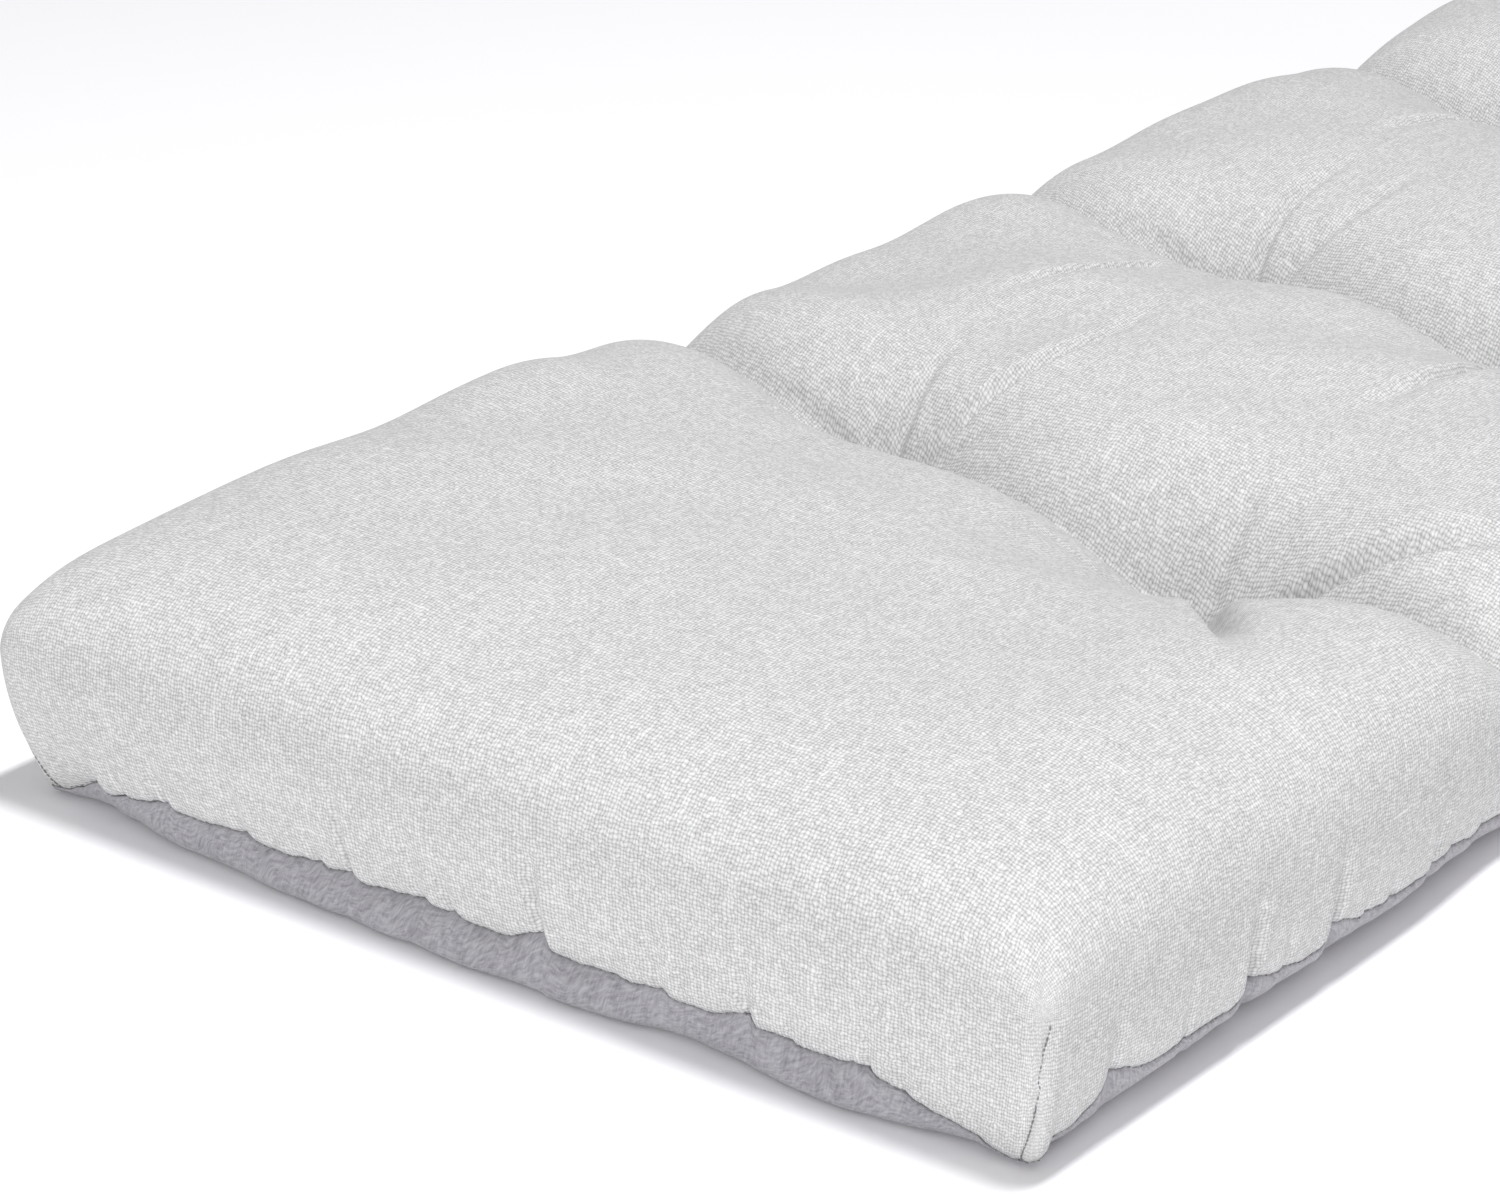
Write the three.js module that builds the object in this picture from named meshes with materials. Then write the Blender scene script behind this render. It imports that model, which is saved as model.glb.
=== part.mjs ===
// Tufted bench cushion: a filled linen-look cover sewn to a grey base panel.
// Millimetres. X runs along the bench, Y across it, Z up. The underside lies on Z = 0.

import * as THREE from 'three';

// Driving sizes of the whole cushion.
const cushionLength = 1140;
const cushionWidth = 450;
const crownHeight = 105;
const equatorHeight = 56;

// Top: how far the shoulders take to rise to the crown, and how full they are.
const endShoulderRun = 110;
const sideShoulderRun = 80;
const shoulderFullness = 2.6;

// Tufts: three rows of two, with a valley across the cushion at each row. The rows lie at a slant,
// and bow toward the far end at both sides.
const tuftRows = [-260, 0, 260];
const rowSlant = 0.18;
const rowBow = 18;
const tuftOffset = 78;
const tuftPinch = { depth: 17, along: 26, across: 34 };
const tuftDish = { depth: 11, along: 78, across: 62 };
const tuftFolds = 4;
const tuftFoldShare = 0.16;
const broadValley = { depth: 8, reach: 125, power: 2.0 };
const creaseValley = { depth: 9, reach: 45, power: 1.6 };

// Outline: plan corners, and how far the sides are drawn in.
const coverCornerRadius = 12;
const seamCornerRadius = 4;
const cornerDraw = 0.5;
const cornerDrawPower = { end: 6, side: 12 };
const rowDraw = 4;
const rowDrawReach = 45;
const drawFade = 70;

// Seam between cover and base panel, low on the sides and lowest at the corners.
const seamHeight = { corner: 7, end: 16, side: 12 };
const seamInset = { corner: 12, middle: 7 };
const cornerReach = 75;
const puckerHeight = 1.4;
const puckerPitch = 52;

// Base panel cloth, and the gap that keeps the two sewn pieces apart.
const clothThickness = 2;
const pieceGap = 0.35;

// Side wall of the cover from seam to equator, as shares of its rise and of the seam inset.
const coverWall = [
  { rise: 0, inset: 1 },
  { rise: 0.18, inset: 0.66 },
  { rise: 0.42, inset: 0.34 },
  { rise: 0.7, inset: 0.1 },
];

// Rim of the base panel from seam to floor: share of the seam height, and the insets in mm that
// its outer and inner faces add to the seam's own.
const baseRim = [
  { rise: 1, outer: 0, inner: 2.0 },
  { rise: 0.62, outer: -0.6, inner: 2.3 },
  { rise: 0.3, outer: 0.5, inner: 3.4 },
  { rise: 0.09, outer: 2.6, inner: 5.6 },
  { rise: 0, outer: 6.5, inner: 9.0 },
];

// Mesh lines: set-ins from the edge, distances from each tuft, and the widest free step.
const edgeInsets = [0, 3, 9, 18, 31, 50];
const rowSteps = [0, 7, 18, 36];
const tuftSteps = [0, 9, 24];
const widestStep = 26;
const capColumns = 4;
const leanRun = 250;

const halfLength = cushionLength / 2;
const halfWidth = cushionWidth / 2;

const clamp01 = (value) => Math.min(1, Math.max(0, value));
const mix = (from, to, share) => from + (to - from) * share;
const easeInOut = (value) => clamp01(value) ** 2 * (3 - 2 * clamp01(value));

// How far a tuft row strays along the cushion at a place across it.
const rowShift = (y) => rowSlant * y + rowBow * (y / halfWidth) ** 2;

// Sorted mesh lines over -half..half, close together at the edges and at each centre.
function meshLines(half, centres, steps) {
  const places = edgeInsets.flatMap((inset) => [inset - half, half - inset]);
  for (const centre of centres) {
    for (const step of steps) places.push(centre - step, centre + step);
  }
  const sorted = [...new Set(places)].sort((first, second) => first - second);
  const lines = [sorted[0]];
  for (const place of sorted.slice(1)) {
    const start = lines[lines.length - 1];
    const parts = Math.ceil((place - start) / widestStep);
    for (let part = 1; part <= parts; part += 1) lines.push(mix(start, place, part / parts));
  }
  return lines;
}

const alongLines = meshLines(halfLength, tuftRows, rowSteps);
const acrossLines = meshLines(halfWidth, [-tuftOffset, tuftOffset], tuftSteps);

// The mesh lines lean with the tuft rows, and straighten out toward the two ends.
function leanAlong(x, y) {
  const fromEnd = halfLength - Math.abs(x);
  return x + rowShift(y) * easeInOut(fromEnd / leanRun);
}

// The rectangle's outline once round, anticlockwise from above, as plan places.
function outlinePlaces() {
  const front = alongLines.map((x) => [leanAlong(x, -halfWidth), -halfWidth]);
  const farEnd = acrossLines.map((y) => [halfLength, y]);
  const back = alongLines.map((x) => [leanAlong(x, halfWidth), halfWidth]).reverse();
  const nearEnd = acrossLines.map((y) => [-halfLength, y]).reverse();
  return [front, farEnd, back, nearEnd].flatMap((side) => side.slice(0, -1));
}

const outline = outlinePlaces();

// How far along from the nearest plan corner an outline place lies, and on which side.
function onOutline([x, y]) {
  const onEnd = Math.abs(x) === halfLength;
  const fromCorner = onEnd ? halfWidth - Math.abs(y) : halfLength - Math.abs(x);
  return { onEnd, fromCorner, along: onEnd ? y : x };
}

// Distance along the cushion from a slanted and bowed tuft row.
const fromRow = (x, y, row) => x - row - rowShift(y);

// Inward draw of the outline: a little at the corners, and where a tuft row meets the side.
function outlineDraw(x, y) {
  const margin = Math.min(halfWidth - Math.abs(y), halfLength - Math.abs(x));
  const fade = 1 - easeInOut(margin / drawFade);
  const rowPulls = tuftRows.map((row) => Math.exp(-((fromRow(x, y, row) / rowDrawReach) ** 2)));
  const endDraw = cornerDraw * (Math.abs(y) / halfWidth) ** cornerDrawPower.end;
  const sideDraw = cornerDraw * (Math.abs(x) / halfLength) ** cornerDrawPower.side;
  return { along: endDraw * fade, across: (sideDraw + rowDraw * Math.max(...rowPulls)) * fade };
}

// Plan place on the ring that lies a set inset inside the rectangle, with rounded corners.
function ringPlace(x, y, inset, radius) {
  const ringLength = halfLength - inset;
  const ringWidth = halfWidth - inset;
  const draw = outlineDraw(x, y);
  let overX = Math.abs(x) - (ringLength - radius);
  let overY = Math.abs(y) - (ringWidth - radius);
  if (overX > 0 && overY > 0) {
    const squeeze = Math.max(overX, overY) / Math.hypot(overX, overY);
    overX *= squeeze;
    overY *= squeeze;
  }
  const placeX = ringLength - radius + overX - draw.along;
  const placeY = ringWidth - radius + overY - draw.across;
  return [Math.sign(x) * placeX, Math.sign(y) * placeY];
}

// Place on the wall for an outline place, moved in to a ring and to a height.
function wallPlace([x, y], inset, radius, height) {
  const scaledX = x * (halfLength - inset) / halfLength;
  const scaledY = y * (halfWidth - inset) / halfWidth;
  const [placeX, placeY] = ringPlace(scaledX, scaledY, inset, radius);
  return new THREE.Vector3(placeX, placeY, height);
}

function seamAt(place) {
  const { onEnd, fromCorner, along } = onOutline(place);
  const share = easeInOut(fromCorner / cornerReach);
  const middleHeight = onEnd ? seamHeight.end : seamHeight.side;
  const pucker = puckerHeight * Math.sin(2 * Math.PI * along / puckerPitch) * share;
  return {
    height: mix(seamHeight.corner, middleHeight, share) + pucker,
    inset: mix(seamInset.corner, seamInset.middle, share),
  };
}

const valleyDrop = (distance, { depth, reach, power }) =>
  depth * (1 - clamp01(Math.abs(distance) / reach)) ** power;

// Drop of the top below its crown at the tuft rows and at each tuft.
function creaseDrop(x, y) {
  let drop = 0;
  for (const row of tuftRows) {
    const away = fromRow(x, y, row);
    drop += valleyDrop(away, broadValley) + valleyDrop(away, creaseValley);
    for (const offset of [-tuftOffset, tuftOffset]) {
      const aside = y - offset;
      const folds = 1 + tuftFoldShare * Math.cos(tuftFolds * Math.atan2(aside, away));
      const pinch = Math.hypot(away / tuftPinch.along, aside / tuftPinch.across);
      const dish = Math.hypot(away / tuftDish.along, aside / tuftDish.across);
      drop += tuftPinch.depth * Math.exp(-pinch) * folds + tuftDish.depth * Math.exp(-(dish ** 2));
    }
  }
  return drop;
}

// Share of the full rise reached at a distance in from one edge.
function shoulder(distance, run) {
  const left = 1 - clamp01(distance / run);
  return (1 - left ** shoulderFullness) ** (1 / shoulderFullness);
}

function topPlace(lineX, y) {
  const x = leanAlong(lineX, y);
  const fromEnd = halfLength - Math.abs(x);
  const fromSide = halfWidth - Math.abs(y);
  const inset = Math.min(fromEnd, fromSide);
  const [placeX, placeY] = ringPlace(x, y, inset, Math.max(0, coverCornerRadius - inset));
  const share = shoulder(fromEnd, endShoulderRun) * shoulder(fromSide, sideShoulderRun);
  const rise = crownHeight - equatorHeight - creaseDrop(placeX, placeY);
  return new THREE.Vector3(placeX, placeY, equatorHeight + share * rise);
}

// Collects vertices and outward triangles for one closed piece.
class Shell {
  constructor() {
    this.positions = [];
    this.triangles = [];
  }

  add(place) {
    this.positions.push(place.x, place.y, place.z);
    return this.positions.length / 3 - 1;
  }

  loop(makePlace) {
    return outline.map((place) => this.add(makePlace(place)));
  }

  // Joins two rows of vertices that may differ in count, first row on the left.
  bridge(left, right) {
    let a = 0;
    let b = 0;
    while (a < left.length - 1 || b < right.length - 1) {
      const nextA = (a + 1) / (left.length - 1);
      const nextB = (b + 1) / (right.length - 1);
      if (nextA <= nextB) {
        this.triangles.push(left[a], right[b], left[a + 1]);
        a += 1;
      } else {
        this.triangles.push(left[a], right[b], right[b + 1]);
        b += 1;
      }
    }
  }

  // Joins two closed loops, the upper one on the outside first.
  band(upper, lower) {
    this.bridge([...upper, upper[0]], [...lower, lower[0]]);
  }

  // Closes a flat loop with a plain sheet; it faces down unless told otherwise.
  cap(loop, facesUp) {
    const along = alongLines.length - 1;
    const across = acrossLines.length - 1;
    const front = loop.slice(0, along + 1);
    const farEnd = loop.slice(along, along + across + 1);
    const back = loop.slice(along + across, 2 * along + across + 1).reverse();
    const nearEnd = [...loop.slice(2 * along + across), loop[0]].reverse();
    const rows = [nearEnd];
    for (let line = 1; line < along; line += 1) rows.push(this.capRow(front[line], back[line]));
    rows.push(farEnd);
    for (let line = 0; line < along; line += 1) {
      const pair = [rows[line], rows[line + 1]];
      if (facesUp) pair.reverse();
      this.bridge(pair[1], pair[0]);
    }
  }

  // One row of a cap, from its front vertex to its back one.
  capRow(front, back) {
    const at = (index) => new THREE.Vector3(...this.positions.slice(3 * index, 3 * index + 3));
    const inner = [];
    for (let column = 1; column < capColumns; column += 1) {
      inner.push(this.add(at(front).lerp(at(back), column / capColumns)));
    }
    return [front, ...inner, back];
  }

  mesh(name, material) {
    const geometry = new THREE.BufferGeometry();
    geometry.setAttribute('position', new THREE.Float32BufferAttribute(this.positions, 3));
    geometry.setIndex(this.triangles);
    geometry.computeVertexNormals();
    const mesh = new THREE.Mesh(geometry, material);
    mesh.name = name;
    return mesh;
  }
}

// Place on the base panel's inner face, or a gap above and inside it where the cover's filling lies.
function baseInner(place, row, gap) {
  const seam = seamAt(place);
  const height = mix(clothThickness, seam.height - pieceGap, row.rise) + gap;
  return wallPlace(place, seam.inset + row.inner + gap, seamCornerRadius, height);
}

// The filled cover: crowned tufted top, side walls, and an underside that fills the base panel.
function buildCover() {
  const material = new THREE.MeshStandardMaterial({ color: '#dad9d7', roughness: 0.95, metalness: 0 });
  const shell = new Shell();
  const grid = alongLines.map((x) => acrossLines.map((y) => shell.add(topPlace(x, y))));
  for (let line = 0; line < grid.length - 1; line += 1) shell.bridge(grid[line], grid[line + 1]);

  const equator = [
    ...grid.map((row) => row[0]),
    ...grid[grid.length - 1].slice(1),
    ...grid.map((row) => row[row.length - 1]).reverse().slice(1),
    ...grid[0].slice(1, -1).reverse(),
  ];
  let upper = equator;
  for (const row of [...coverWall].reverse()) {
    const radius = mix(coverCornerRadius, seamCornerRadius, row.inset);
    const lower = shell.loop((place) => {
      const seam = seamAt(place);
      const height = mix(seam.height, equatorHeight, row.rise);
      return wallPlace(place, seam.inset * row.inset, radius, height);
    });
    shell.band(upper, lower);
    upper = lower;
  }
  for (const row of baseRim) {
    const lower = shell.loop((place) => baseInner(place, row, pieceGap));
    shell.band(upper, lower);
    upper = lower;
  }
  shell.cap(upper, false);
  return shell.mesh('cover', material);
}

// The grey base panel: a flat sheet whose rim turns up to the seam.
function buildBasePanel() {
  const material = new THREE.MeshStandardMaterial({ color: '#a9a8af', roughness: 0.9, metalness: 0 });
  const shell = new Shell();
  const outer = baseRim.map((row) => shell.loop((place) => {
    const seam = seamAt(place);
    const height = row.rise === 1 ? seam.height - pieceGap : row.rise * seam.height;
    return wallPlace(place, seam.inset + row.outer, seamCornerRadius, height);
  }));
  const inner = baseRim.map((row) => shell.loop((place) => baseInner(place, row, 0)));
  for (let row = 0; row < baseRim.length - 1; row += 1) {
    shell.band(outer[row], outer[row + 1]);
    shell.band(inner[row + 1], inner[row]);
  }
  shell.band(inner[0], outer[0]);
  shell.cap(outer[outer.length - 1], false);
  shell.cap(inner[inner.length - 1], true);
  return shell.mesh('base_panel', material);
}

const cushion = new THREE.Group();
cushion.add(buildCover(), buildBasePanel());

export default cushion;
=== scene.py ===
import math

import bpy
import numpy as np
from mathutils import Euler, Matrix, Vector


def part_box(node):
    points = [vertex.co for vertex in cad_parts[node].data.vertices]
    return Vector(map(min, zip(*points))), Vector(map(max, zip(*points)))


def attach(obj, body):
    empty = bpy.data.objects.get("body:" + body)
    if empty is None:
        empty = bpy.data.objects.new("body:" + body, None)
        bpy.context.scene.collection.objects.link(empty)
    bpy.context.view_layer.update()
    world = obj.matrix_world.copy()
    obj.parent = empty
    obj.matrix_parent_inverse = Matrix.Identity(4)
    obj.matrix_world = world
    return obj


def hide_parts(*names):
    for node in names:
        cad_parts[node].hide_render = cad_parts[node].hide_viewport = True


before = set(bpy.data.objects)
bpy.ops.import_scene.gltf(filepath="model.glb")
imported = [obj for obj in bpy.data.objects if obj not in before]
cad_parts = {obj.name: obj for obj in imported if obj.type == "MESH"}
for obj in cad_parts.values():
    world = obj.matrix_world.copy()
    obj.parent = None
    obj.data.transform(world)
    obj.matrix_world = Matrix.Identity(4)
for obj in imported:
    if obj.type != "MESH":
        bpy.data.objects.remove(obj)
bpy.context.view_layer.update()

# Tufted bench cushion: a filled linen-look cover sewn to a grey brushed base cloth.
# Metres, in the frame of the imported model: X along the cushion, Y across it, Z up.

mm = 0.001
_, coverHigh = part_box("cover")
halfLength = coverHigh.x
halfWidth = coverHigh.y
tiny = 1e-9

# Form of the whole cushion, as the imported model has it, with deeper valleys and wells
form = {
    "crownHeight": coverHigh.z,
    "equatorHeight": 56 * mm,
    "endShoulderRun": 110 * mm,
    "sideShoulderRun": 80 * mm,
    "shoulderFullness": 2.6,
    "rowPitch": 260 * mm,
    "rowSlant": 0.18,
    "rowBow": 18 * mm,
    "valleyBows": (18 * mm, -13 * mm, 18 * mm),   # the middle valley bows the other way
    "tuftOffset": 78 * mm,
    "tuftPinch": (19 * mm, 27 * mm, 32 * mm),    # depth, reach along, reach across
    "tuftDish": (11 * mm, 76 * mm, 60 * mm),
    "broadValley": (8 * mm, 125 * mm, 2.0),      # depth, reach, power
    "creaseValley": (22 * mm, 55 * mm, 2.0),
    "coverCornerRadius": 12 * mm,
    "seamCornerRadius": 4 * mm,
    "rowDraw": 4 * mm,
    "rowDrawReach": 45 * mm,
    "drawFade": 70 * mm,
    "leanRun": 250 * mm,
    "wallPower": 1.9,       # how fast the wall draws in toward the seam
    "wallFade": 0.25,       # share of the wall, from the top, where its low relief grows to full
}
tuftRows = [-form["rowPitch"], 0.0, form["rowPitch"]]

# Seam between cover and base. Its corners are listed from the near corner, anticlockwise from
# above, and its sides in the same way: near long side, far end, back long side, near end
seam = {
    "cornerHeight": (3.2 * mm, 8 * mm, 8 * mm, 3.4 * mm),
    "heightReach": (42 * mm, 75 * mm, 75 * mm, 75 * mm),
    "endHeight": 16 * mm,
    "sideHeight": 14 * mm,
    "cornerInset": (9.5 * mm, 11 * mm, 11 * mm, 12.5 * mm),
    "middleInset": 7 * mm,
    "cornerReach": 75 * mm,
    "notchReach": 8 * mm,
    "notchDrop": 1.2 * mm,
    "notchSlopes": (3.2, 0.9),      # slow and sharp side of a notch, in half widths of its gather
    "tuckDepth": 1.0 * mm,
    "tuckReach": 2.8 * mm,
    "unevenness": 0.5 * mm,
    "knotPitch": 4.5 * mm,
}


def easeInOut(t):
    t = np.clip(t, 0, 1)
    return t * t * (3 - 2 * t)


def mix(a, b, t):
    return a + (b - a) * t


def rowShift(y):
    return form["rowSlant"] * y + form["rowBow"] * (y / halfWidth) ** 2


def leanAlong(x, y):
    return x + rowShift(y) * easeInOut((halfLength - np.abs(x)) / form["leanRun"])


def valleyAway(x, y, index):
    # distance from the bottom of a valley between two pillows
    bow = form["valleyBows"][index] * (y / halfWidth) ** 2
    return x - tuftRows[index] - form["rowSlant"] * y - bow


def outlineDraw(x, y):
    margin = np.minimum(halfWidth - np.abs(y), halfLength - np.abs(x))
    fade = 1 - easeInOut(margin / form["drawFade"])
    away = [valleyAway(x, y, index) for index in range(len(tuftRows))]
    pull = np.max([np.exp(-(a / form["rowDrawReach"]) ** 2) for a in away], axis=0)
    return form["rowDraw"] * pull * fade


def ringPlace(x, y, inset, radius):
    # plan place on the ring a set inset inside the rectangle, with rounded corners
    ringX = halfLength - inset - radius
    ringY = halfWidth - inset - radius
    overX = np.abs(x) - ringX
    overY = np.abs(y) - ringY
    corner = (overX > 0) & (overY > 0)
    reach = np.where(corner, np.hypot(overX, overY), 1)
    squeeze = np.where(corner, np.maximum(overX, overY) / reach, 1)
    placeX = ringX + overX * squeeze
    placeY = ringY + overY * squeeze - outlineDraw(x, y)
    return np.sign(x) * placeX, np.sign(y) * placeY


def wallPlace(x, y, inset, radius):
    innerX = x * (halfLength - inset) / halfLength
    innerY = y * (halfWidth - inset) / halfWidth
    return ringPlace(innerX, innerY, inset, radius)


def shoulder(distance, run):
    left = 1 - np.clip(distance / run, 0, 1)
    power = form["shoulderFullness"]
    return (1 - left ** power) ** (1 / power)


def valley(away, shape):
    depth, reach, power = shape
    return depth * (1 - np.clip(np.abs(away) / reach, 0, 1)) ** power


# Tufts: row, side, shift along and across from the regular place in mm, and share of the dish
tuftNames = ("row", "side", "shiftAlong", "shiftAcross", "dish")
tuftTable = [
    (0, 1, 0, 0, 1.0),
    (0, -1, -19, -10, 1.8),
    (1, 1, 0, 0, 1.0),
    (1, -1, 0, 0, 1.2),
    (2, 1, 0, 4, 1.0),
    (2, -1, -4, 0, 1.2),
]
tufts = [dict(zip(tuftNames, row)) for row in tuftTable]

# Folds that run out of the tufts: row, side of the tuft, distance from it where the fold starts,
# heading in degrees from +X toward +Y, length, depth, half width, bend in degrees over the length,
# and sharp: 1 for a crisp edge on the right hand side, 0 for a soft fold. Measures are in mm
foldNames = ("row", "side", "start", "heading", "length", "depth", "width", "bend", "sharp")
foldTable = [
    (0, 1, 0, -48, 165, 4.4, 5.5, 38, 0.6),
    (0, 1, 0, 20, 70, 5.0, 5.0, -12, 0.5),
    (0, 1, 8, 62, 85, 3.2, 4.5, 12, 0.4),
    (0, 1, 8, 98, 75, 2.4, 4.5, -8, 0),
    (0, 1, 10, 150, 60, 1.8, 5.5, 0, 0),
    (0, -1, 0, -140, 150, 14.0, 8.5, 0, 0.6),
    (0, -1, 2, -54, 132, 10.0, 7.0, -10, 0.9),
    (0, -1, 0, 3, 85, 3.0, 5.5, 6, 0.3),
    (0, -1, 6, -78, 90, 3.4, 5.5, -8, 0.3),
    (0, -1, 10, 100, 60, 2.2, 5.5, 10, 0),
    (1, 1, 0, 22, 110, 5.6, 5.5, -20, 0.6),
    (1, 1, 55, 176, 110, 3.6, 4.5, -4, 0.5),
    (1, 1, 12, 148, 65, 3.4, 4.5, -16, 0.4),
    (1, 1, 8, 66, 85, 3.0, 4.5, 10, 0.3),
    (1, 1, 0, -36, 120, 2.8, 5.5, 26, 0.3),
    (1, -1, 40, -166, 130, 4.0, 5.5, -10, 0.4),
    (1, -1, 0, -140, 115, 11.0, 7.5, 0, 0.5),
    (1, -1, 6, -46, 100, 6.0, 5.5, -14, 0.9),
    (1, -1, 0, 8, 80, 2.8, 5.5, 4, 0.2),
    (2, 1, 0, 24, 95, 5.0, 5.0, -14, 0.6),
    (2, 1, 0, -42, 140, 3.8, 5.5, 30, 0.4),
    (2, 1, 40, 172, 100, 3.0, 5.0, 0, 0.3),
    (2, -1, 0, -140, 115, 10.0, 7.5, 0, 0.4),
    (2, -1, 6, -50, 95, 6.0, 5.5, -10, 0.8),
]
folds = [dict(zip(foldNames, row)) for row in foldTable]

# Smaller folds about every tuft, strewn by a fixed seed: least and most of each measure
smallFolds = {
    "count": 8,
    "seed": 5,
    "start": (0, 14),
    "turn": (0.1, 0.9),
    "length": (35, 85),
    "depth": (0.6, 1.6),
    "width": (3.2, 5.5),
    "bend": (-20, 20),
}

# Section of a fold, in half widths, and how it begins and ends
foldForm = {
    "spread": (0.8, 0.8),     # share of the half width at the start, and what the length adds
    "steeper": 1.6,           # how much steeper the crisp side is
    "edge": 0.6,              # slight rise of the cloth beside the trough
    "lip": 0.12,
    "lipDepth": 5,            # folds deeper than this have a lower lip for their depth
    "lipPlace": 1.0,
    "lipWidth": 0.55,
    "startRun": 9 * mm,
    "fadeFrom": 0.4,
    "fadeOver": 0.6,
}


def strewnFolds():
    chance = np.random.default_rng(smallFolds["seed"])
    strewn = []
    for tuft in tufts:
        for index in range(smallFolds["count"]):
            strewn.append({
                "row": tuft["row"],
                "side": tuft["side"],
                "start": chance.uniform(*smallFolds["start"]),
                "heading": 360 * (index + chance.uniform(*smallFolds["turn"])) / smallFolds["count"],
                "length": chance.uniform(*smallFolds["length"]),
                "depth": chance.uniform(*smallFolds["depth"]),
                "width": chance.uniform(*smallFolds["width"]),
                "bend": chance.uniform(*smallFolds["bend"]),
                "sharp": 0,
            })
    return strewn


allFolds = folds + strewnFolds()


def tuftPlace(tuft):
    y = tuft["side"] * form["tuftOffset"]
    bow = form["valleyBows"][tuft["row"]] * (y / halfWidth) ** 2
    x = tuftRows[tuft["row"]] + form["rowSlant"] * y + bow
    return x + tuft["shiftAlong"] * mm, y + tuft["shiftAcross"] * mm


def foldDrop(x, y):
    # drop of every fold: a narrow trough, with a steep side and a low lip where it is crisp
    drop = np.zeros_like(x)
    narrow, widening = foldForm["spread"]
    for fold in allFolds:
        tuft = next(t for t in tufts if (t["row"], t["side"]) == (fold["row"], fold["side"]))
        tuftX, tuftY = tuftPlace(tuft)
        length = fold["length"] * mm
        out = np.hypot(x - tuftX, y - tuftY)
        heading = math.radians(fold["heading"]) + math.radians(fold["bend"]) * out / length
        along = (x - tuftX) * np.cos(heading) + (y - tuftY) * np.sin(heading)
        aside = (y - tuftY) * np.cos(heading) - (x - tuftX) * np.sin(heading)
        along = along - fold["start"] * mm
        q = aside / (fold["width"] * mm * (narrow + widening * np.clip(along / length, 0, 1)))
        crisp = np.where(q < 0, q * (1 + foldForm["steeper"] * fold["sharp"]), q)
        profile = (1 - foldForm["edge"] * crisp * crisp) * np.exp(-crisp * crisp)
        lip = foldForm["lip"] * fold["sharp"] * min(1, foldForm["lipDepth"] / fold["depth"])
        profile = profile - lip * np.exp(-((q + foldForm["lipPlace"]) / foldForm["lipWidth"]) ** 2)
        start = easeInOut(along / foldForm["startRun"])
        end = 1 - easeInOut((along / length - foldForm["fadeFrom"]) / foldForm["fadeOver"])
        drop += fold["depth"] * mm * profile * start * end
    return drop


def creaseDrop(x, y):
    # drop of the valleys, and of the narrow pinch and the wide dish of each tuft
    pinchDepth, pinchAlong, pinchAcross = form["tuftPinch"]
    dishDepth, dishAlong, dishAcross = form["tuftDish"]
    drop = np.zeros_like(x)
    for index in range(len(tuftRows)):
        away = valleyAway(x, y, index)
        drop += valley(away, form["broadValley"]) + valley(away, form["creaseValley"])
    for tuft in tufts:
        tuftX, tuftY = tuftPlace(tuft)
        away = x - tuftX - form["rowSlant"] * (y - tuftY)
        aside = y - tuftY
        pinch = np.hypot(away / pinchAlong, aside / pinchAcross)
        dish = np.hypot(away / dishAlong, aside / dishAcross)
        drop += pinchDepth * np.exp(-pinch) + tuft["dish"] * dishDepth * np.exp(-dish ** 2)
    return drop


# Places where the filling is thin, or full where the drop is negative: place along and across,
# reach along and across, and drop, all in mm
thinNames = ("along", "across", "reachAlong", "reachAcross", "drop")
thinTable = [
    (-122, 180, 56, 58, 14.0),
    (-66, 190, 34, 46, 9.5),
    (10, 186, 30, 42, -4.2),
    (-500, 190, 60, 60, 3.4),
    (-268, 190, 26, 40, 4.0),
    (-318, 190, 20, 40, -3.0),
    (-372, 188, 30, 44, 2.6),
    (112, 186, 52, 50, 7.0),
    (244, 188, 30, 44, 3.5),
    (-552, 208, 26, 26, -4.0),
    (-318, -8, 34, 52, 4.0),
]
thinPlaces = [dict(zip(thinNames, row)) for row in thinTable]


def thinDrop(x, y):
    drop = np.zeros_like(x)
    for place in thinPlaces:
        away = (x - place["along"] * mm) / (place["reachAlong"] * mm)
        aside = (y - place["across"] * mm) / (place["reachAcross"] * mm)
        drop += place["drop"] * mm * np.exp(-away ** 2 - aside ** 2)
    return drop


# Slow swell of the filling under the cloth, from waves of several lengths
swell = {
    "height": 1.1 * mm,
    "wave": 95 * mm,
    "spread": (0.7, 1.6),
    "waves": 9,
    "seed": 3,
}


def fillingSwell(x, y):
    chance = np.random.default_rng(swell["seed"])
    total = np.zeros_like(x)
    for _ in range(swell["waves"]):
        turn = chance.uniform(0, math.tau)
        pitch = swell["wave"] * chance.uniform(*swell["spread"])
        phase = chance.uniform(0, math.tau)
        total += np.sin(math.tau * (x * math.cos(turn) + y * math.sin(turn)) / pitch + phase)
    return swell["height"] * total / math.sqrt(swell["waves"])


def topHeight(x, y, placeX, placeY):
    share = shoulder(halfLength - np.abs(x), form["endShoulderRun"])
    share = share * shoulder(halfWidth - np.abs(y), form["sideShoulderRun"])
    drop = creaseDrop(placeX, placeY) + foldDrop(placeX, placeY) + thinDrop(placeX, placeY)
    rise = form["crownHeight"] - form["equatorHeight"] - drop + fillingSwell(placeX, placeY)
    return form["equatorHeight"] + share * rise


# How fine the meshes are, and how the section is sampled: close together at its rim
fineness = {
    "top": 2.0 * mm,
    "wall": 2.8 * mm,
    "capColumns": 8,
    "samples": 4001,
    "crowding": 3,
}


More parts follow.
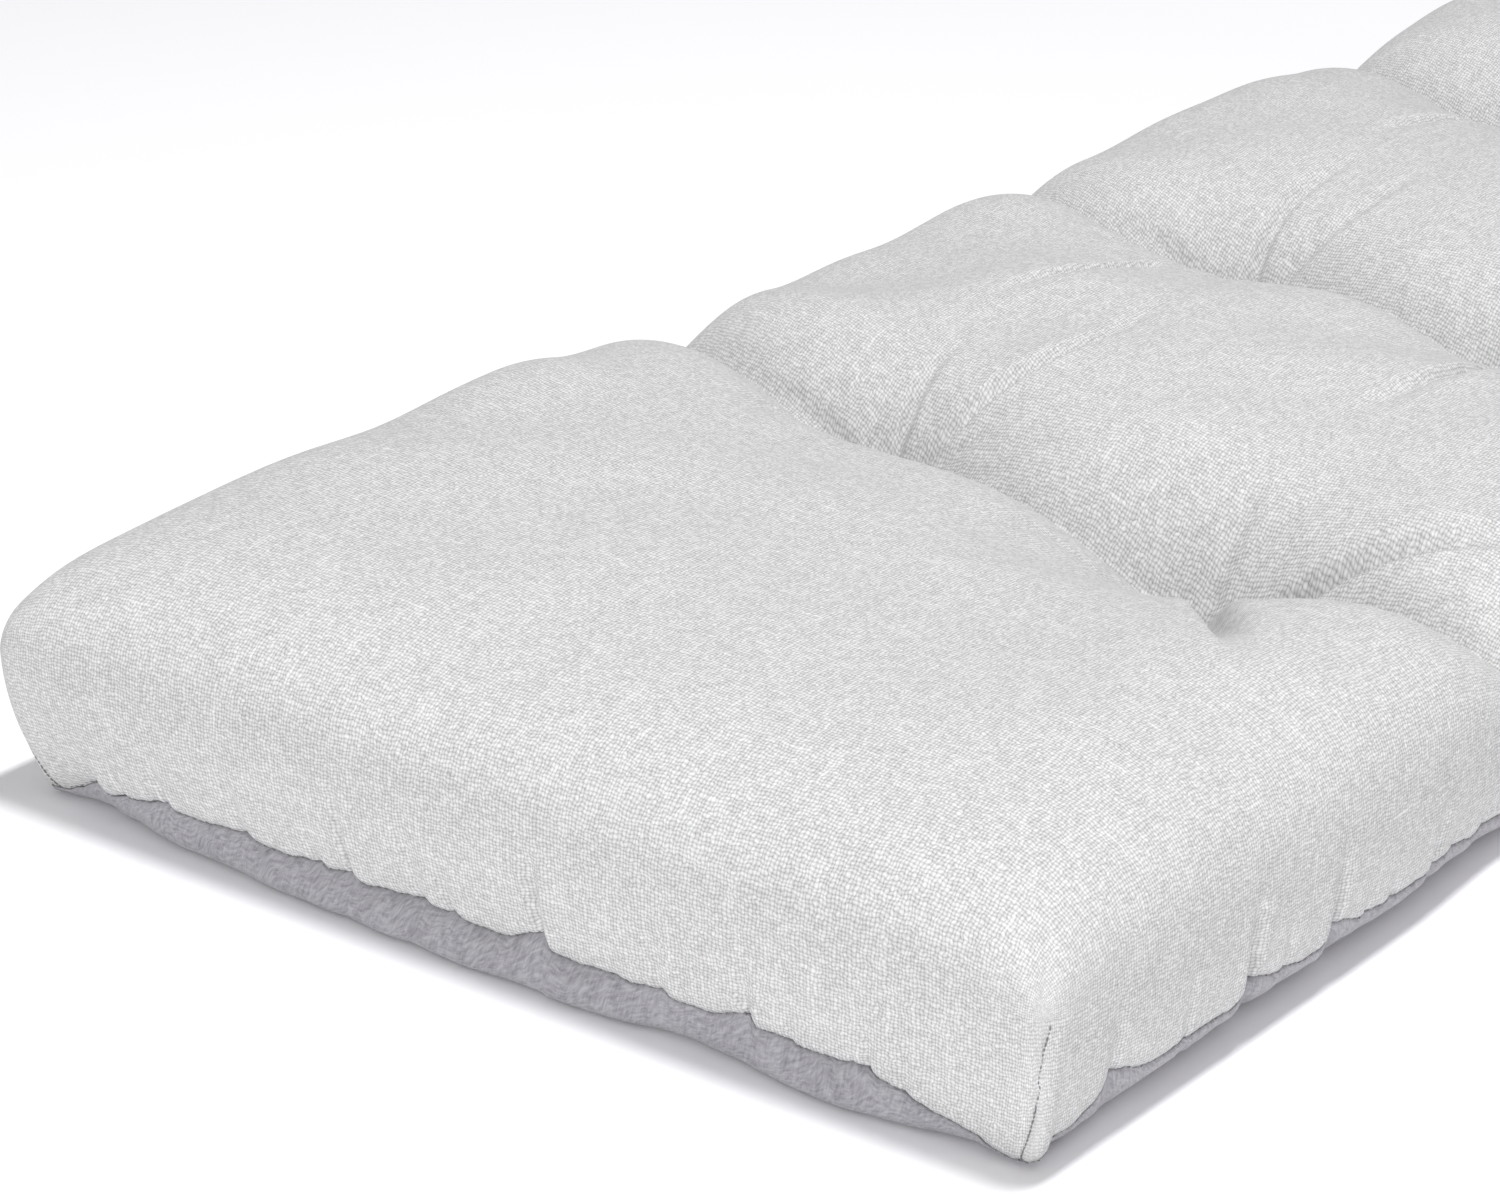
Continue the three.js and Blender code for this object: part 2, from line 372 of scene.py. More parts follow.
def arcLines(half, run, step):
    # mesh lines from -half to half, evenly spaced along the shouldered section, which stands
    # upright at the rim, and the distance of each line along the cloth
    inset = half * np.linspace(0, 1, fineness["samples"]) ** fineness["crowding"]
    rise = (form["crownHeight"] - form["equatorHeight"]) * shoulder(inset, run)
    arc = np.concatenate([[0], np.cumsum(np.hypot(np.diff(inset), np.diff(rise)))])
    count = int(round(arc[-1] / step))
    even = np.linspace(0, arc[-1], count + 1)
    places = np.interp(even, arc, inset)
    lines = np.concatenate([places - half, (half - places)[::-1][1:]])
    distances = np.concatenate([even - arc[-1], (arc[-1] - even)[::-1][1:]])
    return lines, distances


alongLines, alongArc = arcLines(halfLength, form["endShoulderRun"], fineness["top"])
acrossLines, acrossArc = arcLines(halfWidth, form["sideShoulderRun"], fineness["top"])
alongCount = len(alongLines) - 1
acrossCount = len(acrossLines) - 1


def outlineLoop():
    # once round the rectangle, anticlockwise from above: place and side. Side 0 is the near long
    # side, 1 the far end, 2 the back and 3 the near end
    front = [(leanAlong(x, -halfWidth), -halfWidth) for x in alongLines[:-1]]
    farEnd = [(halfLength, y) for y in acrossLines[:-1]]
    back = [(leanAlong(x, halfWidth), halfWidth) for x in alongLines[:0:-1]]
    nearEnd = [(-halfLength, y) for y in acrossLines[:0:-1]]
    places = np.array(front + farEnd + back + nearEnd)
    counts = (len(front), len(farEnd), len(back), len(nearEnd))
    return places[:, 0], places[:, 1], np.repeat([0, 1, 2, 3], counts)


outlineX, outlineY, outlineSide = outlineLoop()
outlineCount = len(outlineX)
onEnd = np.abs(np.abs(outlineX) - halfLength) < tiny
fromCorner = np.where(onEnd, halfWidth - np.abs(outlineY), halfLength - np.abs(outlineX))
stepLength = np.hypot(np.diff(outlineX, append=outlineX[0]), np.diff(outlineY, append=outlineY[0]))
outlineRun = np.concatenate([[0], np.cumsum(stepLength)[:-1]])
outlineTotal = float(stepLength.sum())

# Deep gathers of the near end and of the near long side: side of the outline, place along it from
# the middle, half width, how far up the wall they reach, depth, rise of the seam, and the way in
# which the seam drops back sharply, 1 onward round the outline. Measures are in mm
gatherNames = ("side", "place", "width", "reach", "depth", "notch", "turn")
gatherTable = [
    (3, 191, 5.0, 20, 1.0, 6.5, 1),
    (3, 150, 3.4, 24, 1.6, 2.5, 1),
    (3, 61, 2.6, 68, 2.0, 2.5, 1),
    (3, 15, 3.4, 40, 1.0, 1.5, 1),
    (3, -27, 3.4, 56, 2.6, 6.0, 1),
    (3, -76, 4.0, 34, 1.0, 1.5, 1),
    (3, -112, 3.6, 28, 2.0, 4.0, 1),
    (3, -160, 3.2, 30, 1.4, 2.0, 1),
    (0, -560, 2.4, 14, 0.6, 4.5, -1),
    (0, -529, 4.5, 46, 1.8, 6.0, -1),
    (0, -488, 3.2, 40, 1.0, 1.0, -1),
    (0, -453, 5.0, 60, 3.2, 6.5, -1),
    (0, -402, 5.0, 52, 2.8, 6.5, -1),
    (0, -335, 4.5, 40, 1.6, 2.0, -1),
]

# Smaller gathers strewn along the rest by a fixed seed: least and most of each measure
smallGathers = {
    "seed": 11,
    "spacing": 26 * mm,
    "spread": (0.5, 1.4),
    "width": (3.0, 5.5),
    "reach": (10, 42),
    "depth": (0.4, 1.5),
    "notch": (0.5, 2.4),
    "clear": 14 * mm,
}

# Section of a gather: share of its half width at the seam, what its height adds, and its lips
gatherForm = {
    "spread": (0.7, 0.9),
    "lip": 1.4,
}


def wrapped(distance):
    return (distance + outlineTotal / 2) % outlineTotal - outlineTotal / 2


def outlineGathers():
    # the gathers of the table, and the smaller ones where the table leaves room
    gathers = []
    middles = {0: (0.0, -halfWidth), 3: (-halfLength, 0.0)}
    for row in gatherTable:
        gather = dict(zip(gatherNames, row))
        middleX, middleY = middles[gather["side"]]
        x = middleX + (gather["place"] * mm if gather["side"] == 0 else 0)
        y = middleY + (gather["place"] * mm if gather["side"] == 3 else 0)
        nearest = int(np.argmin(np.hypot(outlineX - x, outlineY - y)))
        gather["run"] = outlineRun[nearest]
        gathers.append(gather)
    chance = np.random.default_rng(smallGathers["seed"])
    run = 0.0
    while run < outlineTotal:
        run += smallGathers["spacing"] * chance.uniform(*smallGathers["spread"])
        measures = ("width", "reach", "depth", "notch")
        gather = {name: chance.uniform(*smallGathers[name]) for name in measures}
        gather["turn"] = 1 if run > outlineTotal / 2 else -1
        gather["run"] = run
        if all(abs(wrapped(run - other["run"])) > smallGathers["clear"] for other in gathers):
            gathers.append(gather)
    return gathers


gatherList = outlineGathers()


def seamNotch():
    # the seam climbs slowly toward each gather and drops back sharply past it
    notch = np.zeros(outlineCount)
    slowSlope, sharpSlope = seam["notchSlopes"]
    for gather in gatherList:
        away = wrapped(outlineRun - gather["run"]) * gather["turn"]
        slow = np.exp(-(np.minimum(away, 0) / (slowSlope * gather["width"] * mm)) ** 2)
        sharp = np.exp(-(np.maximum(away, 0) / (sharpSlope * gather["width"] * mm)) ** 2)
        notch += gather["notch"] * mm * slow * sharp
    chance = np.random.default_rng(smallGathers["seed"] + 1)
    knots = np.arange(0, outlineTotal, seam["knotPitch"])
    notch += np.interp(outlineRun, knots, chance.uniform(-1, 1, len(knots))) * seam["unevenness"]
    return notch


def wallGather(rise):
    # inward draw of the wall at a height above the seam: troughs with a low lip at each side
    draw = np.zeros(outlineCount)
    narrow, widening = gatherForm["spread"]
    for gather in gatherList:
        share = rise / (gather["reach"] * mm)
        spread = gather["width"] * mm * (narrow + widening * np.clip(share, 0, 1))
        q = wrapped(outlineRun - gather["run"]) / spread
        trough = gather["depth"] * mm * (1 - gatherForm["lip"] * q * q) * np.exp(-q * q)
        draw += trough * (1 - easeInOut(share))
    return draw


cornerShare = easeInOut(fromCorner / seam["cornerReach"])
nearestCorner = np.where(outlineY < 0, np.where(outlineX < 0, 0, 1), np.where(outlineX < 0, 3, 2))
cornerHeight = np.array(seam["cornerHeight"])[nearestCorner]
heightShare = easeInOut(fromCorner / np.array(seam["heightReach"])[outlineSide])
seamHeight = mix(cornerHeight, np.where(onEnd, seam["endHeight"], seam["sideHeight"]), heightShare)
seamHeight = seamHeight + (seamNotch() - seam["notchDrop"]) * easeInOut(fromCorner / seam["notchReach"])
seamInset = mix(np.array(seam["cornerInset"])[nearestCorner], seam["middleInset"], cornerShare)


class Shell:
    # vertices, faces and cloth coordinates of one closed piece
    def __init__(self):
        self.places = []
        self.count = 0
        self.quads = []
        self.quadMaps = []
        self.triangles = []
        self.triangleMaps = []

    def add(self, x, y, z):
        block = np.stack([np.ravel(a) for a in np.broadcast_arrays(x, y, z)], axis=1)
        self.places.append(block)
        self.count += len(block)
        return np.arange(self.count - len(block), self.count)

    def sheet(self, grid, mapX, mapY):
        corners = [grid[:-1, :-1], grid[1:, :-1], grid[1:, 1:], grid[:-1, 1:]]
        maps = np.stack(np.meshgrid(mapX, mapY, indexing="ij"), axis=-1)
        mapCorners = [maps[:-1, :-1], maps[1:, :-1], maps[1:, 1:], maps[:-1, 1:]]
        self.quads.append(np.stack([c.ravel() for c in corners], axis=1))
        self.quadMaps.append(np.stack([c.reshape(-1, 2) for c in mapCorners], axis=1))

    def band(self, upper, lower, upperDepth, lowerDepth):
        # faces between two closed loops; depths are distances down the wall from the top sheet
        nextUpper, nextLower = np.roll(upper, -1), np.roll(lower, -1)
        self.quads.append(np.stack([upper, lower, nextLower, nextUpper], axis=1))
        start, stop = wallMap(upperDepth), wallMap(lowerDepth)
        self.quadMaps.append(np.stack([start[0], stop[0], stop[1], start[1]], axis=1))

    def cap(self, loop, facesUp):
        # flat sheet across a loop, from row to row along the cushion
        front = loop[:alongCount + 1]
        farEnd = loop[alongCount:alongCount + acrossCount + 1]
        back = loop[alongCount + acrossCount:2 * alongCount + acrossCount + 1][::-1]
        nearEnd = np.append(loop[2 * alongCount + acrossCount:], loop[0])[::-1]
        known = np.concatenate(self.places)
        shares = np.linspace(0, 1, fineness["capColumns"] + 1)[1:-1, None]
        rows = [list(nearEnd)]
        for line in range(1, alongCount):
            a, b = known[front[line]], known[back[line]]
            inner = self.add(*(a + (b - a) * shares).T)
            rows.append([front[line], *inner, back[line]])
        rows.append(list(farEnd))
        for near, far in zip(rows, rows[1:]):
            self.bridge(near if facesUp else far, far if facesUp else near)
        known = np.concatenate(self.places)
        self.triangleMaps = [known[list(t)][:, :2] for t in self.triangles]

    def bridge(self, left, right):
        a = b = 0
        while a < len(left) - 1 or b < len(right) - 1:
            if (a + 1) / (len(left) - 1) <= (b + 1) / (len(right) - 1):
                self.triangles.append((left[a], right[b], left[a + 1]))
                a += 1
            else:
                self.triangles.append((left[a], right[b], right[b + 1]))
                b += 1

    def build(self, name):
        places = np.concatenate(self.places)
        quads = np.concatenate(self.quads)
        triangles = np.array(self.triangles).reshape(-1, 3)
        maps = np.concatenate([np.concatenate(self.quadMaps).reshape(-1, 2), *self.triangleMaps])
        mesh = bpy.data.meshes.new(name)
        mesh.from_pydata(places.tolist(), [], quads.tolist() + triangles.tolist())
        layer = mesh.uv_layers.new(name="cloth")
        layer.data.foreach_set("uv", maps.astype(np.float32).ravel())
        mesh.polygons.foreach_set("use_smooth", np.ones(len(mesh.polygons), bool))
        mesh.update()
        piece = bpy.data.objects.new(name, mesh)
        bpy.context.scene.collection.objects.link(piece)
        return piece


def outlineArcs():
    # cloth coordinate along the outline for each step: its start and its end
    front, back = alongArc[:-1], alongArc[:0:-1]
    right, left = acrossArc[:-1], acrossArc[:0:-1]
    start = np.concatenate([front, right, back, left])
    stop = np.concatenate([alongArc[1:], acrossArc[1:], alongArc[-2::-1], acrossArc[-2::-1]])
    return start, stop


arcStart, arcStop = outlineArcs()


def wallMap(depth):
    # cloth coordinates of the wall's faces, at the start and the end of each outline step
    depth = np.broadcast_to(depth, (outlineCount,))
    nextDepth = np.roll(depth, -1)
    result = []
    for arc, down in ((arcStart, depth), (arcStop, nextDepth)):
        u = np.choose(outlineSide, [arc, alongArc[-1] + down, arc, alongArc[0] - down])
        v = np.choose(outlineSide, [acrossArc[0] - down, arc, acrossArc[-1] + down, arc])
        result.append(np.stack([u, v], axis=1))
    return result


def wallInset(share):
    # set-in of the cover's wall: full at the seam, none at the equator
    return (1 - share) ** form["wallPower"]


def gridOutline(grid):
    return np.concatenate([grid[:-1, 0], grid[-1, :-1], grid[:0:-1, -1], grid[0, :0:-1]])


def outwardNormals():
    # plan direction out of the wall at each outline step
    tangentX = np.roll(outlineX, -1) - np.roll(outlineX, 1)
    tangentY = np.roll(outlineY, -1) - np.roll(outlineY, 1)
    length = np.hypot(tangentX, tangentY)
    return tangentY / length, -tangentX / length


normalX, normalY = outwardNormals()

# Darts that shape the four corners: top of the shallow groove and how far it fades in, its depth
# and half width, its place beside the corner at the floor and at the top, toward the long side,
# and how far the thread stands off it
dart = {
    "top": 66 * mm,
    "fade": 14 * mm,
    "depth": 1.1 * mm,
    "width": 2.0 * mm,
    "lean": (-6.5 * mm, 6.0 * mm),
    "threadLift": 0.4 * mm,
}
cornerSteps = (0, alongCount, alongCount + acrossCount, 2 * alongCount + acrossCount)


def dartRun(index, height):
    # place of a corner's dart along the outline at a height
    aside = mix(dart["lean"][0], dart["lean"][1], np.clip(height / dart["top"], 0, 1))
    return outlineRun[cornerSteps[index]] + aside * (1 if index % 2 == 0 else -1)


def dartDraw(height):
    reach = easeInOut((dart["top"] - height) / dart["fade"])
    draw = np.zeros(outlineCount)
    for index in range(len(cornerSteps)):
        away = wrapped(outlineRun - dartRun(index, height))
        draw += dart["depth"] * np.exp(-(away / dart["width"]) ** 2) * reach
    return draw


def dartPoint(index, wallRow):
    # point of a corner's dart on one row of the wall
    run = dartRun(index, wallRow[cornerSteps[index], 2]) % outlineTotal
    step = int(np.searchsorted(outlineRun, run, side="right")) - 1
    share = (run - outlineRun[step]) / stepLength[step]
    outward = np.array([normalX[step], normalY[step], 0])
    return mix(wallRow[step], wallRow[(step + 1) % outlineCount], share) + outward * dart["threadLift"]


def buildCover():
    shell = Shell()
    lineX, lineY = np.meshgrid(alongLines, acrossLines, indexing="ij")
    leanX = leanAlong(lineX, lineY)
    inset = np.minimum(halfLength - np.abs(leanX), halfWidth - np.abs(lineY))
    placeX, placeY = ringPlace(leanX, lineY, inset, np.maximum(0, form["coverCornerRadius"] - inset))
    height = topHeight(leanX, lineY, placeX, placeY)
    grid = shell.add(placeX, placeY, height).reshape(lineX.shape)
    shell.sheet(grid, alongArc, acrossArc)

    upper, upperDepth = gridOutline(grid), 0
    darts = [[] for _ in cornerSteps]
    rows = int(round(form["equatorHeight"] / fineness["wall"]))
    for row in range(rows - 1, -1, -1):
        share = row / rows
        wallHeight = mix(seamHeight, form["equatorHeight"], share)
        rise = wallHeight - seamHeight
        tuck = seam["tuckDepth"] * (1 - easeInOut(rise / seam["tuckReach"]))
        rowInset = seamInset * wallInset(share)
        radius = mix(form["coverCornerRadius"], form["seamCornerRadius"], wallInset(share))
        x, y = wallPlace(outlineX, outlineY, rowInset, radius)
        fade = easeInOut((1 - share) / form["wallFade"])
        draw = wallGather(rise) * (fade * cornerShare) + tuck + dartDraw(wallHeight) * fade
        wallRow = np.stack([x - normalX * draw, y - normalY * draw, wallHeight], axis=1)
        for index, line in enumerate(darts):
            line.append(dartPoint(index, wallRow))
        lower = shell.add(*wallRow.T)
        lowerDepth = form["equatorHeight"] - wallHeight
        shell.band(upper, lower, upperDepth, lowerDepth)
        upper, upperDepth = lower, lowerDepth
    closeUnder(shell, upper, upperDepth)
    return shell.build("cushion_cover"), wallRow, darts


# The filling's underside, hidden inside the base cloth
under = {
    "seamInset": 3.8 * mm,
    "seamDrop": 0.2 * mm,
    "floorInset": 24 * mm,
    "floorHeight": 3 * mm,
    "clothStep": 5 * mm,
}


def closeUnder(shell, upper, upperDepth):
    rings = [
        (under["seamInset"], seamHeight - under["seamDrop"]),
        (under["floorInset"], np.full(outlineCount, under["floorHeight"])),
    ]
    for extra, height in rings:
        x, y = wallPlace(outlineX, outlineY, seamInset + extra, form["seamCornerRadius"])
        lower = shell.add(x, y, height)
        shell.band(upper, lower, upperDepth, upperDepth + under["clothStep"])
        upper, upperDepth = lower, upperDepth + under["clothStep"]
    shell.cap(upper, False)


cover, seamLine, dartLines = buildCover()
print("cover:", len(cover.data.polygons), "faces")

# Base cloth. Its rim goes from the seam down to the floor: share of the seam height, inset added
# at the ends and inset added along the long sides, where it curls further under. "drawnIn" is for
# the near end: place, reach, and inset at the floor. Measures in these lists are in mm
baseForm = {
    "clothThickness": 2 * mm,
    "rim": [
        (1.0, 1.3, 1.1),
        (0.93, 0.4, 0.7),
        (0.84, -0.3, 0.9),
        (0.74, -1.0, 1.5),
        (0.62, -1.7, 2.6),
        (0.5, -2.2, 4.0),
        (0.38, -2.5, 5.6),
        (0.27, -2.6, 7.4),
        (0.18, -2.4, 9.3),
        (0.11, -1.8, 11.3),
        (0.05, -0.4, 13.4),
        (0.02, 1.4, 15.0),
        (0.0, 5.0, 17.5),
    ],
    "inner": [(1.0, 3.4), (0.62, 7.4), (0.3, 12.4), (0.0, 22.0)],
    "drawnIn": [(185, 60, 6.5), (-92, 30, 5.5), (5, 60, -1.8)],
    "cornerInset": (12 * mm, 8 * mm, 8 * mm, 6 * mm),
    "seamGap": 0.3 * mm,
    "sideStart": 10 * mm,      # distance from the corner where the long side's rim begins
    "pucker": 0.7,             # share of the wall's gathers that the rim takes over
    "puckerRise": 1.6,         # how fast they fade toward the floor
    "puckerPower": 0.5,
    "wave": 1.3 * mm,
    "wavePitch": 13 * mm,
    "waveWindow": 7,           # outline steps over which the wave is smoothed
    "waveSeed": 21,
    "outerStep": 1.6 * mm,     # cloth coordinates from row to row
    "innerStep": 2 * mm,
}


def baseWave():
    # slow wander of the base cloth's edge on the floor
    chance = np.random.default_rng(baseForm["waveSeed"])
    knots = np.arange(0, outlineTotal, baseForm["wavePitch"])
    rough = np.interp(outlineRun, knots, chance.uniform(-1, 1, len(knots)))
    window = baseForm["waveWindow"]
    ends = window // 2
    longer = np.concatenate([rough[-ends:], rough, rough[:ends]])
    return np.convolve(longer, np.ones(window) / window, "valid") * baseForm["wave"]


def baseDrawnIn():
    # how far the base cloth's edge on the floor is drawn in at the corners and along the near end
    inset = np.array(baseForm["cornerInset"])[nearestCorner] * (1 - cornerShare)
    nearEnd = outlineSide == 3
    for place, reach, depth in baseForm["drawnIn"]:
        inset = inset + depth * mm * np.exp(-((outlineY - place * mm) / (reach * mm)) ** 2) * nearEnd
    return inset


def buildBase():
    shell = Shell()
    outer = []
    wave = baseWave() * cornerShare + baseDrawnIn()
    top = seamHeight - baseForm["seamGap"]
    sideShare = easeInOut((fromCorner - baseForm["sideStart"]) / seam["cornerReach"])
    sideShare = np.where(onEnd, 0.0, sideShare)
    for share, atEnd, atSide in baseForm["rim"]:
        extra = mix(atEnd, atSide, sideShare) * mm + wave * (1 - share)
        x, y = wallPlace(outlineX, outlineY, seamInset + extra, form["seamCornerRadius"])
        gathers = wallGather((1 - share) * seamHeight * baseForm["puckerRise"])
        draw = gathers * baseForm["pucker"] * share ** baseForm["puckerPower"] * cornerShare
        outer.append(shell.add(x - normalX * draw, y - normalY * draw, share * top))
    inner = []
    for share, extra in baseForm["inner"]:
        x, y = wallPlace(outlineX, outlineY, seamInset + extra * mm, form["seamCornerRadius"])
        inner.append(shell.add(x, y, mix(baseForm["clothThickness"], top, share)))
    depth = 0
    for upper, lower in zip(outer, outer[1:]):
        shell.band(upper, lower, depth, depth + baseForm["outerStep"])
        depth += baseForm["outerStep"]
    for upper, lower in zip(inner, inner[1:]):
        shell.band(lower, upper, depth, depth + baseForm["innerStep"])
    shell.band(inner[0], outer[0], 0, baseForm["innerStep"])
    shell.cap(outer[-1], False)
    shell.cap(inner[-1], True)
    return shell.build("base_cloth")


base = buildBase()
print("base cloth:", len(base.data.polygons), "faces")


# Shader maths on sockets
class Sock:
    def __init__(self, graph, link):
        self.graph = graph
        self.link = link

    def maths(self, operation, *others):
        values = {0: self}
        values.update({index + 1: other for index, other in enumerate(others)})
        return self.graph.node("ShaderNodeMath", {"operation": operation}, values)

    def __add__(self, other):
        return self.maths("ADD", other)

    def __radd__(self, other):
        return self.maths("ADD", other)

    def __sub__(self, other):
        return self.maths("SUBTRACT", other)

    def __rsub__(self, other):
        return self.graph.node("ShaderNodeMath", {"operation": "SUBTRACT"}, {0: other, 1: self})

    def __mul__(self, other):
        return self.maths("MULTIPLY", other)

    def __rmul__(self, other):
        return self.maths("MULTIPLY", other)

    def __truediv__(self, other):
        return self.maths("DIVIDE", other)

    def clamped(self):
        return self.maths("MAXIMUM", 0.0).maths("MINIMUM", 1.0)


class Graph:
    def __init__(self, name):
        self.material = bpy.data.materials.new(name)
        self.material.use_nodes = True
        self.tree = self.material.node_tree
        self.shader = self.tree.nodes["Principled BSDF"]

    def node(self, kind, settings=None, values=None, output=0):
        made = self.tree.nodes.new(kind)
        for key, value in (settings or {}).items():
            setattr(made, key, value)
        for key, value in (values or {}).items():
            if isinstance(value, Sock):
                self.tree.links.new(value.link, made.inputs[key])
            else:
                made.inputs[key].default_value = value
        return Sock(self, made.outputs[output])

    def split(self, vector):
        made = self.tree.nodes.new("ShaderNodeSeparateXYZ")
        self.tree.links.new(vector.link, made.inputs[0])
        return [Sock(self, out) for out in made.outputs]

    def join(self, x, y, z=0.0):
        return self.node("ShaderNodeCombineXYZ", None, {0: x, 1: y, 2: z})

    def blend(self, factor, first, second):
        values = {0: factor, 6: first, 7: second}
        return self.node("ShaderNodeMix", {"data_type": "RGBA"}, values, output=2)

    def noise(self, vector, scale, detail=2.0, roughness=0.5):
        values = {"Vector": vector, "Scale": scale, "Detail": detail, "Roughness": roughness}
        return self.node("ShaderNodeTexNoise", None, values)

    def bump(self, strength, distance, height):
        values = {"Strength": strength, "Distance": distance, "Height": height}
        self.feed("Normal", self.node("ShaderNodeBump", None, values))

    def feed(self, name, value):
        if isinstance(value, Sock):
            self.tree.links.new(value.link, self.shader.inputs[name])
        else:
            self.shader.inputs[name].default_value = value


# Thread that sews the cover to the base cloth, and finer thread in the darts
seamStitch = {
    "Pitch": 3.5 * mm,
    "Length": 2.1 * mm,
    "Thickness": 0.6 * mm,
    "Lean": 0.5,
    "Seed": 7,
}
dartStitch = {
    "Pitch": 1.9 * mm,
    "Length": 1.7 * mm,
    "Thickness": 0.5 * mm,
    "Lean": 0.12,
    "Seed": 9,
}
threadForm = {
    "tone": (0.18, 0.175, 0.18),
    "roughness": 0.85,
    "segments": 8,
    "rings": 5,
    "growth": (0.7, 1.25),     # least and most size of a stitch
}


def stitchTree(material):
    tree = bpy.data.node_groups.new("seam_stitches", "GeometryNodeTree")
    kinds = [
        ("Pitch", "NodeSocketFloat"),
        ("Length", "NodeSocketFloat"),
        ("Thickness", "NodeSocketFloat"),
        ("Lean", "NodeSocketFloat"),
        ("Seed", "NodeSocketInt"),
    ]
    tree.interface.new_socket("Geometry", in_out="INPUT", socket_type="NodeSocketGeometry")
    for name, kind in kinds:
        tree.interface.new_socket(name, in_out="INPUT", socket_type=kind)
    tree.interface.new_socket("Geometry", in_out="OUTPUT", socket_type="NodeSocketGeometry")
    given = tree.nodes.new("NodeGroupInput").outputs

    def node(kind, settings, values):
        made = tree.nodes.new(kind)
        for key, value in settings.items():
            setattr(made, key, value)
        for key, value in values.items():
            if isinstance(value, bpy.types.NodeSocket):
                tree.links.new(value, made.inputs[key])
            else:
                made.inputs[key].default_value = value
        return made.outputs

    path = node("GeometryNodeMeshToCurve", {}, {"Mesh": given["Geometry"]})["Curve"]
    values = {"Curve": path, "Length": given["Pitch"]}
    path = node("GeometryNodeResampleCurve", {"mode": "LENGTH"}, values)["Curve"]
    tangent = node("GeometryNodeInputTangent", {}, {})["Tangent"]
    along = node("FunctionNodeAlignRotationToVector", {"axis": "X"}, {"Vector": tangent})["Rotation"]
    back = node("ShaderNodeMath", {"operation": "MULTIPLY"}, {0: given["Lean"], 1: -1.0})[0]
    most = node("ShaderNodeCombineXYZ", {}, {0: given["Lean"], 1: given["Lean"], 2: given["Lean"]})[0]
    least = node("ShaderNodeCombineXYZ", {}, {0: back, 1: back, 2: back})[0]
    values = {"Min": least, "Max": most, "Seed": given["Seed"]}
    chance = node("FunctionNodeRandomValue", {"data_type": "FLOAT_VECTOR"}, values)["Value"]
    values = {"Rotation": along, "Rotate By": chance}
    turn = node("FunctionNodeRotateRotation", {"rotation_space": "LOCAL"}, values)["Rotation"]
    values = {"Segments": threadForm["segments"], "Rings": threadForm["rings"], "Radius": 0.5}
    ball = node("GeometryNodeMeshUVSphere", {}, values)["Mesh"]
    values = {0: given["Length"], 1: given["Thickness"], 2: given["Thickness"]}
    size = node("ShaderNodeCombineXYZ", {}, values)[0]
    stitch = node("GeometryNodeTransform", {}, {"Geometry": ball, "Scale": size})["Geometry"]
    values = {2: threadForm["growth"][0], 3: threadForm["growth"][1], "Seed": given["Seed"]}
    growth = node("FunctionNodeRandomValue", {}, values)[1]
    values = {"Points": path, "Instance": stitch, "Rotation": turn, "Scale": growth}
    strewn = node("GeometryNodeInstanceOnPoints", {}, values)["Instances"]
    plain = node("GeometryNodeRealizeInstances", {}, {"Geometry": strewn})["Geometry"]
    plain = node("GeometryNodeSetMaterial", {}, {"Geometry": plain, "Material": material})["Geometry"]
    tree.links.new(plain, tree.nodes.new("NodeGroupOutput").inputs[0])
    return tree


def makeThreadPaint():
    g = Graph("seam_thread")
    g.feed("Base Color", (*threadForm["tone"], 1))
    g.feed("Roughness", threadForm["roughness"])
    return g.material


def buildStitches(name, lines, closed, stitch):
    # a row of stitches along each line of points
    places = [point for line in lines for point in line]
    edges = []
    for line in lines:
        first = len(edges) if closed else len(edges) + len(edges) // (len(line) - 1)
        edges += [(first + i, first + i + 1) for i in range(len(line) - 1)]
    if closed:
        edges.append((len(places) - 1, 0))
    mesh = bpy.data.meshes.new(name + "_path")
    mesh.from_pydata([list(point) for point in places], edges, [])
    path = bpy.data.objects.new(name + "_path", mesh)
    bpy.context.scene.collection.objects.link(path)
    modifier = path.modifiers.new("stitches", "NODES")
    modifier.node_group = stitchTree(threadPaint)
    for item in modifier.node_group.interface.items_tree:
        if item.in_out == "INPUT" and item.name in stitch:
            modifier[item.identifier] = stitch[item.name]
    made = path.evaluated_get(bpy.context.evaluated_depsgraph_get())
    plain = bpy.data.meshes.new_from_object(made)
    bpy.data.objects.remove(path)
    plain.polygons.foreach_set("use_smooth", np.ones(len(plain.polygons), bool))
    piece = bpy.data.objects.new(name, plain)
    bpy.context.scene.collection.objects.link(piece)
    print(name + ":", len(plain.polygons), "faces")
    return piece


threadPaint = makeThreadPaint()
seamThread = buildStitches("seam_thread", [seamLine], True, seamStitch)
dartThread = buildStitches("dart_thread", dartLines, False, dartStitch)


